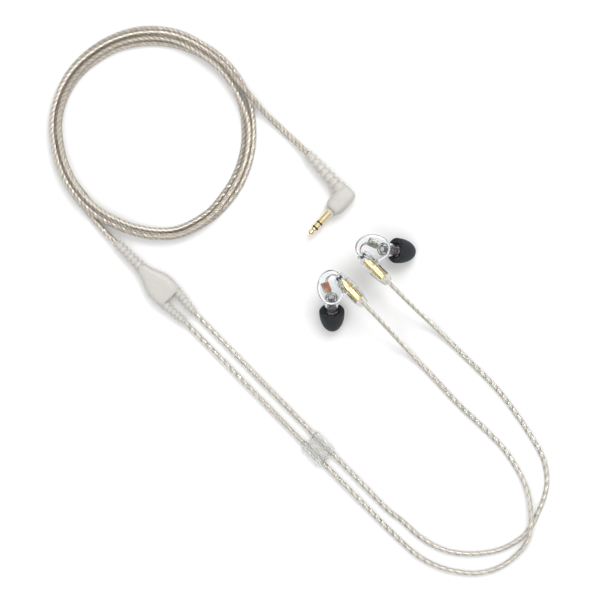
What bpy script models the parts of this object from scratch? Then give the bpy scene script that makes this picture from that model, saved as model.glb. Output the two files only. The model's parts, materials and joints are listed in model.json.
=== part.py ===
"""In-ear monitors with a detachable cable, laid out on a table.

Two clear earphones with foam sleeves plug onto the two legs of a cable. The legs
run through a cinch slider to a Y-split, and the single trunk beyond it is coiled
and ends in a right-angle stereo plug.

Units are metres and +Z is up. The table is z = 0, and the origin lies on it under
the middle of the two earphones.
"""
import math

import bmesh
import bpy
from mathutils import Vector

MM = 0.001
GAP = 0.3 * MM

# Layout of the pair: each entry is which way the nozzle turns from the cable
# (-1 right, 1 left) and where the swivel plane of its connector stands.
CABLE_HEADING = math.radians(-46)
AXIS_HEIGHT = 19.1 * MM
SIDES = {
    "left": (-1, (-8.2 * MM, -3.4 * MM)),
    "right": (1, (3.6 * MM, 7.5 * MM)),
}

# Earphone housing, measured in the swivel plane's frame.
HOUSING_BACK = 7.3 * MM
HOUSING_ASIDE = 6.1 * MM
HOUSING_HALF = (8.75 * MM, 6.9 * MM, 5.6 * MM)
HOUSING_SQUARENESS = 0.75
SHELL_WALL = 1.0 * MM
PARTING_HEIGHT = 2.0 * MM
NOZZLE_TURN = math.radians(41.5)
NOZZLE_DROP = math.radians(40)

# Nozzle and sleeve, as distances from the housing's centre along the nozzle.
NOZZLE_START = 6.2 * MM
NOZZLE_END = 23.2 * MM
NOZZLE_RADIUS = 2.2 * MM
NOZZLE_BORE = 1.4 * MM
NOZZLE_LIP = 0.4 * MM
NOZZLE_RECESS = 1.6 * MM
BOSS_END = 14.8 * MM
BOSS_OUTLINE = [(3.0, 14.8), (3.5, 10.6), (3.7, 8.0), (2.8, 5.2)]
DOME_CENTRE = 15.9 * MM
DOME_LENGTH = 11.6 * MM
DOME_SWEEP = math.radians(66)
DOME_STEPS = 6
SLEEVE_RADIUS = 6.3 * MM
CORE_START = 16.8 * MM
CORE_END = 24.0 * MM
CORE_WALL = 0.8 * MM
SLEEVE_MOUTH = 2.0 * MM
SLEEVE_REAR = [(6.1, 15.2), (5.7, 15.05), (4.2, 15.5)]
SLEEVE_BORE_START = 17.0 * MM

# What the housing holds, in its own frame in millimetres, with Y towards the nozzle's
# turn: each block's finish, size, place, turn and edge, and each wire's finish and route.
DRIVER_BLOCKS = {
    "woofer_driver": ("driver_steel", (5.2, 4.0, 2.6), (-0.2, 2.4, 0.9), -20, 0.2),
    "tweeter_driver": ("driver_steel", (3.4, 2.4, 1.8), (2.3, 1.1, -1.6), -10, 0.2),
    "crossover_board": ("copper_board", (4.2, 3.2, 0.5), (-0.3, 2.0, 3.0), -20, 0.1),
}
DRIVER_WIRES = {
    "signal_wire": ("red_wire", [(-5.9, -2.9, 0.9), (-6.1, -1.2, 1.4), (-5.1, 0.8, 2.0),
                                 (-3.2, 1.9, 2.9)]),
    "ground_wire": ("dark_wire", [(-5.9, -2.9, -0.9), (-6.2, -0.9, -1.0), (-5.0, 1.6, -0.4),
                                  (-3.2, 2.6, 0.6)]),
}
WIRE_RADIUS = 0.18 * MM

# Connector, as distances from the swivel plane along the cable.
COLLAR_RADIUS = 3.85 * MM
COLLAR_INNER_RADIUS = 3.45 * MM
COLLAR_FRONT = -0.15 * MM
COLLAR_SHOULDER = -4.7 * MM
COLLAR_SHOULDER_LENGTH = 0.6 * MM
COLLAR_TAPER_START = -7.7 * MM
COLLAR_BACK = -9.4 * MM
COLLAR_BACK_RADIUS = 2.5 * MM
SOCKET_STEP = -7.2 * MM
SOCKET_BORE_BACK = -8.7 * MM
SOCKET_REAR_RADIUS = 1.9 * MM
WIRE_HOLE_RADIUS = 1.4 * MM
SOCKET_RADIUS = 2.7 * MM
SOCKET_WALL = 0.35 * MM
SOCKET_BACK = -5.6 * MM
NOSE_RADIUS = 1.85 * MM
NOSE_TIP = -4.4 * MM
CONTACT_RADIUS = 1.05 * MM
CONTACT_FRONT = -3.4 * MM
SEAT = 0.4 * MM
BARREL_RADIUS = 2.6 * MM
BARREL_END = 6.5 * MM
BARREL_BORE = 1.35 * MM
PIN_RADIUS = 0.4 * MM
PIN_TIP = -5.2 * MM
PIN_BACK = 6.0 * MM
PLUG_INSULATOR_ENDS = (0.5 * MM, 5.5 * MM)
RING_PLACE = -2.4 * MM
RING_RADIUS = 1.93 * MM
RING_WIRE_RADIUS = 0.17 * MM
RING_MOUTH = math.radians(30)
GROOVE_RADIUS = 1.55 * MM
GROOVE_HALF = 0.5 * MM
BOOT_RADIUS = 3.8 * MM
BOOT_END = 10.4 * MM
BOOT_TAPER = [(2.0, 10.4), (2.5, 8.9), (3.1, 6.6), (3.6, 3.2), (3.8, 1.2)]

# Cable.
LEG_RADIUS = 1.15 * MM
TRUNK_RADIUS = 1.5 * MM
LEG_POINT_SPACING = 6.6 * MM
TRUNK_POINT_SPACING = 3.0 * MM
COIL_CENTRE = (-105.25 * MM, 74.5 * MM)
COIL_INNER = 43.5 * MM
COIL_OUTER = 53.0 * MM
COIL_FLOOR = 0.05 * MM
COIL_HEIGHT = 6.2 * MM
COIL_ROUNDING = 1.2 * MM

# Y-split: the trunk enters at SPLIT_START and the legs leave along the same line.
SPLIT_START = (-124.4 * MM, 20.1 * MM)
SPLIT_HEADING = math.radians(-45.6)
SPLIT_HEIGHT = 3.4 * MM
SPLIT_THICKNESS = 6.7 * MM
TRUNK_RELIEF_LENGTH = 17.3 * MM
SPLIT_BODY_END = 38.6 * MM
LEG_RELIEF_END = 52.0 * MM
LEG_RELIEF_HEIGHT = 2.6 * MM
LEG_SPACING = 6.6 * MM
LEG_EXIT_SPACING = 9.4 * MM
SPLIT_ROUNDING = 1.4 * MM
SPLIT_OUTLINE = [(17.6, 3.5), (25.5, 4.9), (32.0, 6.8), (36.5, 7.2), (38.6, 6.2), (38.6, 2.6)]
SPLIT_NOTCH = (37.2, 0.0)
TRUNK_RELIEF_RADII = (2.4 * MM, 3.0 * MM)
LEG_RELIEF_RADII = (1.9 * MM, 2.5 * MM)
RIB_DEPTH = 0.5 * MM

# Cinch slider, on the two legs where they run side by side.
SLIDER_PLACE = 143.7 * MM
SLIDER_SIZE = (13.6 * MM, 11.0 * MM, 4.4 * MM)
SLIDER_FLOOR = 0.05 * MM
SLIDER_LEG_HEIGHT = 1.75 * MM
SLIDER_EDGE = 1.2 * MM
SLIDER_NOTCH_RADIUS = 1.9 * MM
SLIDER_NOTCH_INSET = 1.4 * MM

# Right-angle plug: the jack points along PLUG_HEADING from the face of the body.
PLUG_FACE = (-17.5 * MM, 36.0 * MM)
PLUG_HEADING = math.radians(227.5)
PLUG_HEIGHT = 4.4 * MM
PLUG_BODY_SIZE = (14.6 * MM, 9.2 * MM, 8.6 * MM)
PLUG_BODY_EDGE = 1.5 * MM
PLUG_RELIEF_START = (-13.1 * MM, -27.6 * MM)
PLUG_RELIEF_END = (-11.2 * MM, -6.0 * MM)
PLUG_RELIEF_RADII = (2.6 * MM, 3.6 * MM)
PLUG_BOSS_RADIUS = 3.55 * MM
PLUG_BOSS_LENGTH = 3.7 * MM
JACK_RADIUS = 1.75 * MM
JACK_BORE = 0.75 * MM
JACK_INSULATOR_RADIUS = 1.7 * MM
JACK_BACK = -6.0 * MM
COLLAR_RING_RADIUS = 3.1 * MM

# The jack's rings: finish, outer radius, bore, and the two ends along the jack.
JACK_RINGS = {
    "plug_collar": ("clear_rubber", COLLAR_RING_RADIUS, JACK_RADIUS + GAP, GAP, 1.2 * MM),
    "jack_sleeve_contact": ("gold", JACK_RADIUS, JACK_BORE, JACK_BACK, 7.9 * MM),
    "jack_rear_insulator": ("black_plastic", JACK_INSULATOR_RADIUS, JACK_BORE,
                            8.15 * MM, 8.65 * MM),
    "jack_ring_contact": ("gold", JACK_RADIUS, JACK_BORE, 8.9 * MM, 10.95 * MM),
    "jack_front_insulator": ("black_plastic", JACK_INSULATOR_RADIUS, JACK_BORE,
                             11.2 * MM, 11.7 * MM),
}
JACK_TIP_BACK = 11.95 * MM
JACK_TIP = [(0.0, 16.3), (0.45, 16.2), (1.1, 15.6), (1.6, 14.7), (1.15, 13.4), (1.75, 12.7)]
JACK_STEM_RADIUS = 0.45 * MM
JACK_STEM_BACK = -5.0 * MM

FINISHES = {
    "clear_shell": ((0.86, 0.88, 0.88), 0.08, 0.0),
    "clear_rubber": ((0.74, 0.74, 0.70), 0.35, 0.0),
    "cable_jacket": ((0.62, 0.60, 0.54), 0.30, 0.0),
    "gold": ((0.83, 0.62, 0.26), 0.22, 1.0),
    "black_foam": ((0.012, 0.012, 0.013), 0.85, 0.0),
    "black_plastic": ((0.02, 0.02, 0.022), 0.40, 0.0),
    "white_plastic": ((0.80, 0.80, 0.78), 0.40, 0.0),
    "driver_steel": ((0.40, 0.38, 0.34), 0.30, 1.0),
    "copper_board": ((0.48, 0.13, 0.04), 0.35, 0.3),
    "nozzle_plastic": ((0.30, 0.24, 0.24), 0.25, 0.0),
    "damper_mesh": ((0.55, 0.55, 0.55), 0.40, 1.0),
    "red_wire": ((0.45, 0.03, 0.02), 0.35, 0.0),
    "dark_wire": ((0.05, 0.05, 0.06), 0.35, 0.0),
}


def clear_scene():
    for obj in list(bpy.data.objects):
        bpy.data.objects.remove(obj, do_unlink=True)


def new_collection(name):
    collection = bpy.data.collections.new(name)
    bpy.context.scene.collection.children.link(collection)
    return collection


def make_finishes():
    made = {}
    for name, (colour, roughness, metallic) in FINISHES.items():
        material = bpy.data.materials.new(name)
        material.use_nodes = True
        shader = material.node_tree.nodes["Principled BSDF"]
        shader.inputs["Base Color"].default_value = (*colour, 1.0)
        shader.inputs["Roughness"].default_value = roughness
        shader.inputs["Metallic"].default_value = metallic
        made[name] = material
    return made


clear_scene()
PARTS = new_collection("in_ear_monitors")
CUTTERS = new_collection("cutters")
MATERIALS = make_finishes()


def add_part(name, data, finish, parent=None):
    obj = bpy.data.objects.new(name, data)
    obj.data.materials.append(MATERIALS[finish])
    obj.parent = parent
    PARTS.objects.link(obj)
    return obj


def add_cutter(name, data, parent=None):
    obj = bpy.data.objects.new(name, data)
    obj.hide_render = True
    obj.display_type = "WIRE"
    obj.parent = parent
    CUTTERS.objects.link(obj)
    return obj


def add_empty(name, location, rotation, parent=None):
    empty = bpy.data.objects.new(name, None)
    empty.location = location
    empty.rotation_euler = rotation
    empty.empty_display_size = 5 * MM
    empty.parent = parent
    PARTS.objects.link(empty)
    return empty


def axis_rotation(heading, drop=0.0):
    """The rotation that lays an object's own Z along a heading, dropped below level."""
    return (0.0, math.pi / 2 + drop, heading)


def mesh_from(name, bm):
    mesh = bpy.data.meshes.new(name)
    bm.to_mesh(mesh)
    bm.free()
    mesh.shade_smooth()
    mesh.set_sharp_from_angle(angle=math.radians(40))
    return mesh


def profile_mesh(name, profile, closed):
    """A profile of (radius, height) points in the XZ plane, ready to be turned."""
    mesh = bpy.data.meshes.new(name)
    corners = [(radius, 0.0, height) for radius, height in profile]
    edges = [(i, i + 1) for i in range(len(corners) - 1)]
    if closed:
        edges.append((len(corners) - 1, 0))
    mesh.from_pydata(corners, edges, [])
    return mesh


def add_turning(obj, steps):
    screw = obj.modifiers.new("turn", "SCREW")
    screw.steps = steps
    screw.render_steps = steps
    screw.use_merge_vertices = True
    screw.merge_threshold = 0.00001
    screw.use_smooth_shade = True


def turned(name, profile, finish, parent, steps=18, closed=False):
    obj = add_part(name, profile_mesh(name, profile, closed), finish, parent)
    add_turning(obj, steps)
    return obj


def turned_cutter(name, profile, parent, steps=20):
    obj = add_cutter(name, profile_mesh(name, profile, False), parent)
    add_turning(obj, steps)
    return obj


def rod_profile(radius, low, high):
    return [(0.0, high), (radius, high), (radius, low), (0.0, low)]


def tube_profile(outer, inner, low, high):
    return [(outer, high), (outer, low), (inner, low), (inner, high)]


def cut(obj, cutter, operation="DIFFERENCE"):
    boolean = obj.modifiers.new(operation.lower(), "BOOLEAN")
    boolean.operation = operation
    boolean.solver = "EXACT"
    boolean.object = cutter


def bevel(obj, width, segments=2):
    modifier = obj.modifiers.new("bevel", "BEVEL")
    modifier.width = width
    modifier.segments = segments
    modifier.limit_method = "ANGLE"


def block(name, size, finish, parent, location, turn=0.0, edge=0.2 * MM, segments=1):
    bm = bmesh.new()
    bmesh.ops.create_cube(bm, size=1.0)
    bmesh.ops.scale(bm, vec=size, verts=bm.verts)
    obj = add_part(name, mesh_from(name, bm), finish, parent)
    obj.location = location
    obj.rotation_euler = (0.0, 0.0, turn)
    bevel(obj, edge, segments)
    return obj


def smooth_route(points, spacing):
    """Evenly spaced points on a smooth curve through the route's own points."""
    route = [Vector(point) for point in points]
    route = [2 * route[0] - route[1]] + route + [2 * route[-1] - route[-2]]
    fine = []
    for before, start, end, after in zip(route, route[1:], route[2:], route[3:]):
        for step in range(24):
            t = step / 24
            fine.append(0.5 * (2 * start + (end - before) * t
                               + (2 * before - 5 * start + 4 * end - after) * t ** 2
                               + (3 * start - before - 3 * end + after) * t ** 3))
    fine.append(route[-2])
    lengths = [0.0]
    for start, end in zip(fine, fine[1:]):
        lengths.append(lengths[-1] + (end - start).length)
    count = max(2, round(lengths[-1] / spacing))
    even = []
    index = 0
    for step in range(count + 1):
        target = lengths[-1] * step / count
        while index < len(fine) - 2 and lengths[index + 1] < target:
            index += 1
        share = (target - lengths[index]) / (lengths[index + 1] - lengths[index])
        even.append(fine[index].lerp(fine[index + 1], share))
    return even


def cord(name, points, radius, finish, parent=None, resolution=2):
    """A round cord or wire along a list of points."""
    curve = bpy.data.curves.new(name, "CURVE")
    curve.dimensions = "3D"
    curve.bevel_depth = radius
    curve.bevel_resolution = resolution
    curve.use_fill_caps = True
    spline = curve.splines.new("POLY")
    spline.points.add(len(points) - 1)
    for spline_point, point in zip(spline.points, points):
        spline_point.co = (*point, 1.0)
        spline_point.radius = 1.0
    return add_part(name, curve, finish, parent)


def pebble(name):
    """The housing's whole outer form: a long sphere, swelled a little towards a box."""
    bm = bmesh.new()
    bmesh.ops.create_uvsphere(bm, u_segments=22, v_segments=14, radius=1.0)
    length, width, height = HOUSING_HALF
    for vert in bm.verts:
        flat = math.hypot(vert.co.x, vert.co.y)
        swell = max(flat, 1e-6) ** (HOUSING_SQUARENESS - 1)
        rise = math.copysign(abs(vert.co.z) ** HOUSING_SQUARENESS, vert.co.z)
        vert.co = (vert.co.x * swell * length, vert.co.y * swell * width, rise * height)
    return bm


def half_shell(name, upper, parent):
    bm = pebble(name)
    level = PARTING_HEIGHT + (GAP / 2 if upper else -GAP / 2)
    bmesh.ops.bisect_plane(
        bm, geom=bm.verts[:] + bm.edges[:] + bm.faces[:], plane_co=(0.0, 0.0, level),
        plane_no=(0.0, 0.0, 1.0), clear_inner=upper, clear_outer=not upper)
    shell = add_part(name, mesh_from(name, bm), "clear_shell", parent)
    solidify = shell.modifiers.new("wall", "SOLIDIFY")
    solidify.thickness = SHELL_WALL
    solidify.offset = -1.0
    return shell


def collar_profile(extra, back, front):
    shoulder = COLLAR_SHOULDER - extra
    return [(0.0, front), (COLLAR_RADIUS + extra, front), (COLLAR_RADIUS + extra, shoulder),
            (COLLAR_INNER_RADIUS + extra, shoulder - COLLAR_SHOULDER_LENGTH),
            (COLLAR_INNER_RADIUS + extra, COLLAR_TAPER_START),
            (COLLAR_BACK_RADIUS + extra, back), (0.0, back)]


def make_shells(side, housing, connector, nozzle):
    """The two clear half shells, with the connector's collar and the nozzle's boss."""
    outer = half_shell(side + "_outer_shell", True, housing)
    inner = half_shell(side + "_inner_shell", False, housing)
    room = turned_cutter(side + "_collar_room",
                         collar_profile(GAP, COLLAR_BACK - GAP, 2 * MM), connector)
    collar = turned_cutter(side + "_collar",
                           collar_profile(0.0, COLLAR_BACK, COLLAR_FRONT), connector)
    neck = [(radius * MM, along * MM) for radius, along in BOSS_OUTLINE]
    boss = turned_cutter(side + "_boss", [(0.0, neck[0][1])] + neck + [(0.0, neck[-1][1])],
                         nozzle, steps=21)
    socket_room = turned_cutter(
        side + "_socket_room",
        [(0.0, MM), (SOCKET_RADIUS + GAP, MM), (SOCKET_RADIUS + GAP, SOCKET_STEP),
         (SOCKET_REAR_RADIUS + GAP, SOCKET_STEP), (SOCKET_REAR_RADIUS + GAP, SOCKET_BORE_BACK),
         (WIRE_HOLE_RADIUS, SOCKET_BORE_BACK), (WIRE_HOLE_RADIUS, COLLAR_BACK - MM),
         (0.0, COLLAR_BACK - MM)],
        connector)
    nozzle_room = turned_cutter(
        side + "_nozzle_room",
        rod_profile(NOZZLE_RADIUS + GAP, NOZZLE_START - 2 * MM, BOSS_END + MM), nozzle)
    cut(outer, room)
    cut(inner, collar, "UNION")
    cut(inner, boss, "UNION")
    cut(inner, socket_room)
    cut(inner, nozzle_room)


def make_nozzle(side, nozzle):
    """The sound tube, with a recess at its tip that holds the damper."""
    recess_radius, recess_floor = NOZZLE_RADIUS - NOZZLE_LIP, NOZZLE_END - NOZZLE_RECESS
    turned(side + "_nozzle_tube",
           [(NOZZLE_RADIUS, NOZZLE_END), (NOZZLE_RADIUS, NOZZLE_START),
            (NOZZLE_BORE, NOZZLE_START), (NOZZLE_BORE, recess_floor),
            (recess_radius, recess_floor), (recess_radius, NOZZLE_END)],
           "nozzle_plastic", nozzle, steps=20, closed=True)
    turned(side + "_acoustic_damper",
           rod_profile(recess_radius - GAP, recess_floor + GAP, NOZZLE_END - GAP),
           "damper_mesh", nozzle, steps=16)


def make_sleeve(side, nozzle):
    """The foam sleeve, hollow at the back round the nozzle, and its firm core tube."""
    core_outer = NOZZLE_RADIUS + GAP + CORE_WALL
    bore = core_outer + GAP
    turned(side + "_sleeve_core",
           tube_profile(core_outer, NOZZLE_RADIUS + GAP, CORE_START, CORE_END),
           "black_plastic", nozzle, steps=20, closed=True)
    profile = []
    for step in range(DOME_STEPS + 1):
        angle = DOME_SWEEP * (1 - step / DOME_STEPS)
        profile.append((SLEEVE_RADIUS * math.cos(angle),
                        DOME_CENTRE + DOME_LENGTH * math.sin(angle)))
    tip = profile[0][1]
    profile += [(radius * MM, along * MM) for radius, along in SLEEVE_REAR]
    profile += [(bore, SLEEVE_BORE_START), (bore, CORE_END + GAP),
                (SLEEVE_MOUTH, CORE_END + GAP), (SLEEVE_MOUTH, tip)]
    turned(side + "_sleeve_foam", profile, "black_foam", nozzle, steps=22, closed=True)


def make_drivers(side, turn, housing):
    """The sound drivers, the crossover board and their two wires to the socket."""
    def placed(point):
        return (point[0] * MM, turn * point[1] * MM, point[2] * MM)

    for kind, (finish, size, place, angle, edge) in DRIVER_BLOCKS.items():
        block(f"{side}_{kind}", [length * MM for length in size], finish, housing,
              placed(place), turn * math.radians(angle), edge * MM)
    for kind, (finish, points) in DRIVER_WIRES.items():
        route = smooth_route([placed(point) for point in points], MM)
        cord(f"{side}_{kind}", route, WIRE_RADIUS, finish, housing, 0)


def make_socket(side, connector):
    """The female half of the connector, held in the housing's collar."""
    turned(side + "_socket",
           tube_profile(SOCKET_RADIUS, SOCKET_RADIUS - SOCKET_WALL, SOCKET_BACK, -GAP),
           "gold", connector, closed=True)
    front, step, back = SOCKET_BACK - GAP, SOCKET_STEP + GAP, SOCKET_BORE_BACK + GAP
    turned(side + "_socket_insulator",
           [(SOCKET_RADIUS, front), (SOCKET_RADIUS, step), (SOCKET_REAR_RADIUS, step),
            (SOCKET_REAR_RADIUS, back), (CONTACT_RADIUS + GAP, back),
            (CONTACT_RADIUS + GAP, front)],
           "black_plastic", connector, closed=True)
    turned(side + "_socket_contact",
           tube_profile(CONTACT_RADIUS, PIN_RADIUS + GAP, SOCKET_BORE_BACK + 2 * GAP,
                        CONTACT_FRONT),
           "gold", connector, steps=16, closed=True)


def make_cable_connector(side, connector):
    """The male half of the connector on the cable, with its moulded boot."""
    groove_front, groove_back = RING_PLACE + GROOVE_HALF, RING_PLACE - GROOVE_HALF
    barrel = [(BARREL_RADIUS, BARREL_END), (BARREL_RADIUS, SEAT), (NOSE_RADIUS, SEAT),
              (NOSE_RADIUS, groove_front), (GROOVE_RADIUS, groove_front),
              (GROOVE_RADIUS, groove_back), (NOSE_RADIUS, groove_back),
              (NOSE_RADIUS, NOSE_TIP), (BARREL_BORE, NOSE_TIP), (BARREL_BORE, BARREL_END)]
    turned(side + "_plug_barrel", barrel, "gold", connector, closed=True)
    turned(side + "_plug_insulator",
           tube_profile(CONTACT_RADIUS, PIN_RADIUS + GAP, *PLUG_INSULATOR_ENDS),
           "white_plastic", connector, steps=16, closed=True)
    turned(side + "_plug_pin", rod_profile(PIN_RADIUS, PIN_TIP, PIN_BACK), "gold", connector,
           steps=12)
    ring = []
    for step in range(16):
        angle = RING_MOUTH / 2 + (2 * math.pi - RING_MOUTH) * step / 15
        ring.append((RING_RADIUS * math.cos(angle), RING_RADIUS * math.sin(angle), RING_PLACE))
    cord(side + "_snap_ring", ring, RING_WIRE_RADIUS, "gold", connector, 0)
    taper = [(radius * MM, along * MM) for radius, along in BOOT_TAPER]
    boot = turned(side + "_connector_boot",
                  [(0.0, BOOT_END)] + taper + [(BOOT_RADIUS, SEAT), (0.0, SEAT)],
                  "clear_rubber", connector)
    room = turned_cutter(side + "_barrel_room",
                         rod_profile(BARREL_RADIUS + GAP, -MM, BARREL_END + GAP), connector)
    cut(boot, room)


def make_earphone(side):
    """One earphone about its connector's swivel axis."""
    turn, (x, y) = SIDES[side]
    connector = add_empty(side + "_connector_axis", (x, y, AXIS_HEIGHT),
                          axis_rotation(CABLE_HEADING))
    along = Vector((math.cos(CABLE_HEADING), math.sin(CABLE_HEADING), 0.0))
    across = turn * Vector((-along.y, along.x, 0.0))
    centre = Vector((x, y, AXIS_HEIGHT)) - HOUSING_BACK * along + HOUSING_ASIDE * across
    heading = CABLE_HEADING + turn * NOZZLE_TURN
    housing = add_empty(side + "_housing_frame", centre, (0.0, 0.0, heading))
    nozzle = add_empty(side + "_nozzle_axis", centre, axis_rotation(heading, NOZZLE_DROP))
    make_shells(side, housing, connector, nozzle)
    make_nozzle(side, nozzle)
    make_sleeve(side, nozzle)
    make_drivers(side, turn, housing)
    make_socket(side, connector)
    make_cable_connector(side, connector)


def ribbed_profile(radii, length, ribs):
    """A strain relief's profile from its cable end, at 0, to its body end."""
    start_radius, end_radius = radii
    profile = [(0.0, length), (end_radius, length)]
    for rib in range(ribs, 0, -1):
        for part, depth in ((0.75, 0.0), (0.25, RIB_DEPTH)):
            share = (rib - 1 + part) / ribs
            profile.append((start_radius + (end_radius - start_radius) * share - depth,
                            length * share))
    return profile + [(start_radius, 0.0), (0.0, 0.0)]


def make_split_body(frame):
    """The Y-split's flat moulded body, drawn as an outline with rounded edges."""
    curve = bpy.data.curves.new("y_split_body", "CURVE")
    curve.dimensions = "2D"
    curve.fill_mode = "BOTH"
    curve.extrude = SPLIT_THICKNESS / 2 - SPLIT_ROUNDING
    curve.bevel_depth = SPLIT_ROUNDING
    curve.bevel_resolution = 1
    curve.offset = -SPLIT_ROUNDING
    outline = SPLIT_OUTLINE + [SPLIT_NOTCH] + [(x, -y) for x, y in reversed(SPLIT_OUTLINE)]
    spline = curve.splines.new("POLY")
    spline.points.add(len(outline) - 1)
    for point, (x, y) in zip(spline.points, outline):
        point.co = (x * MM, y * MM, 0.0, 1.0)
    spline.use_cyclic_u = True
    body = add_part("y_split_body", curve, "clear_rubber", frame)
    body.location = (0.0, 0.0, SPLIT_HEIGHT)


def make_split():
    """The Y-split body and its three ribbed reliefs."""
    frame = add_empty("split_frame", (*SPLIT_START, 0.0), (0.0, 0.0, SPLIT_HEADING))
    make_split_body(frame)
    trunk = add_empty("split_trunk_axis", (0.0, 0.0, SPLIT_HEIGHT), axis_rotation(0.0), frame)
    turned("trunk_relief", ribbed_profile(TRUNK_RELIEF_RADII, TRUNK_RELIEF_LENGTH, 7),
           "clear_rubber", trunk, steps=12)
    for side, sign in (("left", -1), ("right", 1)):
        begin = Vector((SPLIT_BODY_END + GAP, sign * LEG_EXIT_SPACING / 2, SPLIT_HEIGHT))
        end = Vector((LEG_RELIEF_END, sign * LEG_SPACING / 2, LEG_RELIEF_HEIGHT))
        run = begin - end
        heading = math.atan2(run.y, run.x)
        drop = -math.atan2(run.z, math.hypot(run.x, run.y))
        leg = add_empty(f"split_{side}_axis", end, axis_rotation(heading, drop), frame)
        turned(f"{side}_leg_relief", ribbed_profile(LEG_RELIEF_RADII, run.length, 6),
               "clear_rubber", leg, steps=12)


def split_point(along, across, height):
    """A point measured from the start of the Y-split, in the table's frame."""
    cos, sin = math.cos(SPLIT_HEADING), math.sin(SPLIT_HEADING)
    return (SPLIT_START[0] + along * cos - across * sin,
            SPLIT_START[1] + along * sin + across * cos, height)


def make_slider():
    """The cinch slider, with a bore for each leg and a round notch at each end."""
    length, width, height = SLIDER_SIZE
    middle = split_point(SLIDER_PLACE, 0.0, SLIDER_FLOOR + height / 2)
    slider = block("cinch_slider", SLIDER_SIZE, "clear_rubber", None, middle,
                   SPLIT_HEADING, SLIDER_EDGE, 2)
    for sign in (-1, 1):
        bore = turned_cutter(f"slider_bore_{sign + 1}",
                             rod_profile(LEG_RADIUS + GAP, -length, length), None)
        bore.location = split_point(SLIDER_PLACE, sign * LEG_SPACING / 2, SLIDER_LEG_HEIGHT)
        bore.rotation_euler = axis_rotation(SPLIT_HEADING)
        notch = turned_cutter(f"slider_notch_{sign + 1}",
                              rod_profile(SLIDER_NOTCH_RADIUS, -height, height), None)
        reach = length / 2 + SLIDER_NOTCH_RADIUS - SLIDER_NOTCH_INSET
        notch.location = split_point(SLIDER_PLACE + sign * reach, 0.0, height / 2)
        cut(slider, bore)
        cut(slider, notch)


# The cables' own routes in millimetres. The legs' run from the boots to the slider.
LEFT_ROUTE = [
    (2.5, -14.5, 18.7), (6.7, -18.8, 16.4), (10.9, -23.1, 12.6), (15.0, -27.5, 8.3),
    (19.8, -32.6, 4.3), (26.5, -39.7, 1.6), (33.7, -47.2, 1.25), (45.8, -60.2, 1.2),
    (58.6, -72.3, 1.2), (68.6, -82.6, 1.2), (76.2, -94.0, 1.25), (80.4, -103.5, 2.0),
    (82.2, -113.5, 3.7), (82.0, -121.0, 4.0), (80.5, -128.0, 3.7), (75.5, -135.3, 2.0),
    (67.0, -141.8, 1.25), (57.0, -144.8, 1.2), (47.0, -144.5, 1.2), (37.0, -142.0, 1.2),
    (27.0, -137.0, 1.2), (17.5, -129.0, 1.2),
]
RIGHT_ROUTE = [
    (14.4, -3.6, 18.7), (18.6, -7.7, 16.4), (23.0, -11.8, 12.6), (27.5, -15.9, 8.3),
    (32.8, -20.7, 4.3), (41.8, -29.4, 1.6), (50.5, -37.9, 1.25), (59.0, -46.2, 1.2),
    (67.0, -54.8, 1.2), (75.0, -65.3, 1.2), (84.0, -79.0, 1.2), (88.8, -88.5, 1.2),
    (90.4, -98.0, 1.2), (89.3, -106.0, 1.2), (86.0, -114.5, 1.2), (82.2, -122.0, 1.2),
    (77.0, -127.7, 1.2), (67.5, -133.0, 1.2), (57.0, -135.1, 1.2), (46.5, -135.0, 1.2),
    (36.5, -132.4, 1.2), (27.0, -126.8, 1.2), (17.5, -118.4, 1.2),
]
PLUG_CABLE_ROUTE = [
    (-51.6, 85.9, 3.4), (-46.5, 80.9, 2.2), (-40.5, 75.2, 1.7), (-35.5, 70.5, 2.2),
    (-31.5, 66.7, 3.4), (-29.3, 64.6, 4.1),
]
SPLIT_CABLE_ROUTE = [
    (-124.7, 20.4, 3.3), (-127.2, 22.6, 2.8), (-129.6, 24.8, 2.3), (-131.2, 26.4, 2.0),
]

# Where both legs run straight to the Y-split: distance along it, and height.
STRAIGHT_RUN = [(190.0, 1.3), (172.0, 1.75), (150.0, 1.75), (120.0, 1.75), (90.0, 1.75),
                (61.0, 1.75), (53.2, 2.45), (52.3, 2.6)]


def leg_route(side, points):
    """A leg from its boot, down to the table, and along it to the Y-split."""
    x, y = SIDES[side][1]
    across = LEG_SPACING / 2 * (1 if side == "right" else -1)
    reach = BOOT_END + GAP
    route = [(x + reach * math.cos(CABLE_HEADING), y + reach * math.sin(CABLE_HEADING),
              AXIS_HEIGHT)]
    route += [(px * MM, py * MM, pz * MM) for px, py, pz in points]
    route += [split_point(along * MM, across, height * MM) for along, height in STRAIGHT_RUN]
    return route


def make_cables():
    """The two legs, the trunk's two free ends, and the ring that its coil fills."""
    for side, points in (("left", LEFT_ROUTE), ("right", RIGHT_ROUTE)):
        cord(side + "_leg_cable", smooth_route(leg_route(side, points), LEG_POINT_SPACING),
             LEG_RADIUS, "cable_jacket")
    for name, points in (("trunk_cable_plug_end", PLUG_CABLE_ROUTE),
                         ("trunk_cable_split_end", SPLIT_CABLE_ROUTE)):
        route = [(x * MM, y * MM, z * MM) for x, y, z in points]
        cord(name, smooth_route(route, TRUNK_POINT_SPACING), TRUNK_RADIUS, "cable_jacket")
    centre = add_empty("coil_centre", (*COIL_CENTRE, 0.0), (0.0, 0.0, 0.0))
    low, high, corner = COIL_FLOOR, COIL_HEIGHT, COIL_ROUNDING
    ring = [(COIL_OUTER - corner, high), (COIL_OUTER, high - corner),
            (COIL_OUTER, low + corner), (COIL_OUTER - corner, low),
            (COIL_INNER + corner, low), (COIL_INNER, low + corner),
            (COIL_INNER, high - corner), (COIL_INNER + corner, high)]
    turned("trunk_cable_coil", ring, "cable_jacket", centre, steps=48, closed=True)


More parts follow.
